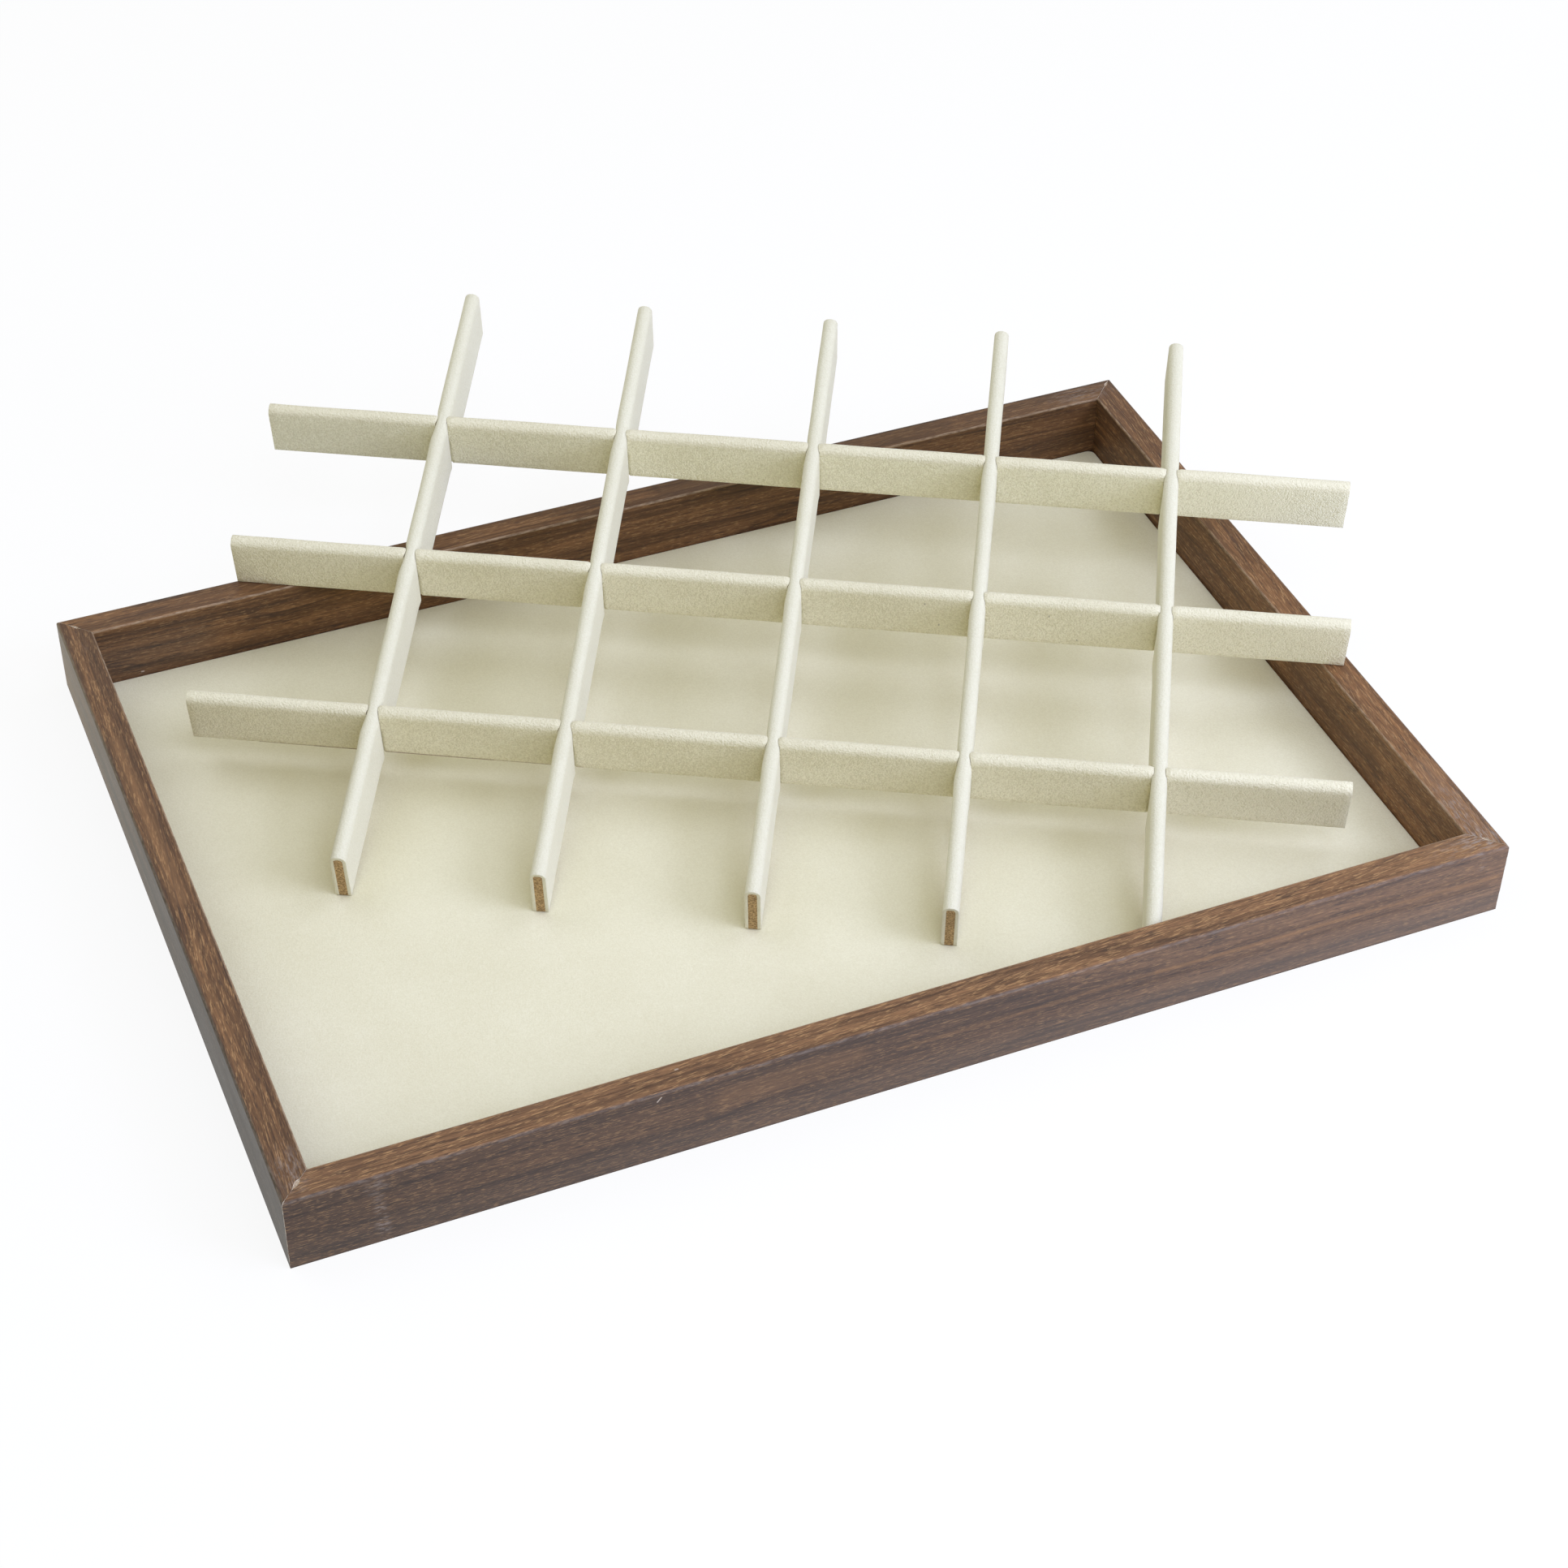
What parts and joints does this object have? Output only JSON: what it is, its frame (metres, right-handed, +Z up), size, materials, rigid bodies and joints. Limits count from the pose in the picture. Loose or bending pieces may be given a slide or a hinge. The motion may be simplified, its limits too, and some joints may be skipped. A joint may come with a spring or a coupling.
{
  "type": "jewelry tray",
  "caption": "Shallow wood-grain framed jewelry tray with a velvet floor and a loose lift-out grid of half-lapped velvet divider strips lying turned and tilted across it.",
  "frame": {"origin": "middle of the tray's underside, on the surface that it stands on", "axes": "+X along the long rails to the right, +Y towards the far long rail, +Z up"},
  "size_m": [0.3745, 0.3162, 0.0614],
  "materials": {
    "wood_grain_foil": "satin foil with a dark walnut grain print",
    "rail_board": "raw fibreboard moulding",
    "base_board": "raw hardboard",
    "floor_card": "grey card",
    "floor_velvet": "ivory velvet, short nap",
    "strip_velvet": "ivory velvet, short nap",
    "strip_board": "raw brown fibreboard",
    "steel": "plain wire"
  },
  "bodies": {
    "tray": {"near_rail": "rail_board", "far_rail": "rail_board", "left_rail": "rail_board", "right_rail": "rail_board", "near_rail_foil": "wood_grain_foil", "far_rail_foil": "wood_grain_foil", "left_rail_foil": "wood_grain_foil", "right_rail_foil": "wood_grain_foil", "corner_nails": "steel", "base_board": "base_board", "base_brads": "steel", "floor_card": "floor_card", "floor_velvet": "floor_velvet"},
    "long_strips": {"near_long_strip_core": "strip_board", "near_long_strip_velvet": "strip_velvet", "middle_long_strip_core": "strip_board", "middle_long_strip_velvet": "strip_velvet", "far_long_strip_core": "strip_board", "far_long_strip_velvet": "strip_velvet"},
    "cross_strip_1": {"cross_strip_1_core": "strip_board", "cross_strip_1_velvet": "strip_velvet"},
    "cross_strip_2": {"cross_strip_2_core": "strip_board", "cross_strip_2_velvet": "strip_velvet"},
    "cross_strip_3": {"cross_strip_3_core": "strip_board", "cross_strip_3_velvet": "strip_velvet"},
    "cross_strip_4": {"cross_strip_4_core": "strip_board", "cross_strip_4_velvet": "strip_velvet"},
    "cross_strip_5": {"cross_strip_5_core": "strip_board", "cross_strip_5_velvet": "strip_velvet"}
  },
  "joints": [
    {"name": "grid_lift", "type": "slide", "parent": "tray", "child": "long_strips", "axis": [0, 0, 1], "range_m": [0, 0.1]},
    {"name": "cross_strip_1_lift", "type": "slide", "parent": "long_strips", "child": "cross_strip_1", "axis": [-0.0848, -0.1567, 0.984], "range_m": [0, 0.02]},
    {"name": "cross_strip_2_lift", "type": "slide", "parent": "long_strips", "child": "cross_strip_2", "axis": [-0.0848, -0.1567, 0.984], "range_m": [0, 0.02]},
    {"name": "cross_strip_3_lift", "type": "slide", "parent": "long_strips", "child": "cross_strip_3", "axis": [-0.0848, -0.1567, 0.984], "range_m": [0, 0.02]},
    {"name": "cross_strip_4_lift", "type": "slide", "parent": "long_strips", "child": "cross_strip_4", "axis": [-0.0848, -0.1567, 0.984], "range_m": [0, 0.02]},
    {"name": "cross_strip_5_lift", "type": "slide", "parent": "long_strips", "child": "cross_strip_5", "axis": [-0.0848, -0.1567, 0.984], "range_m": [0, 0.02]}
  ]
}
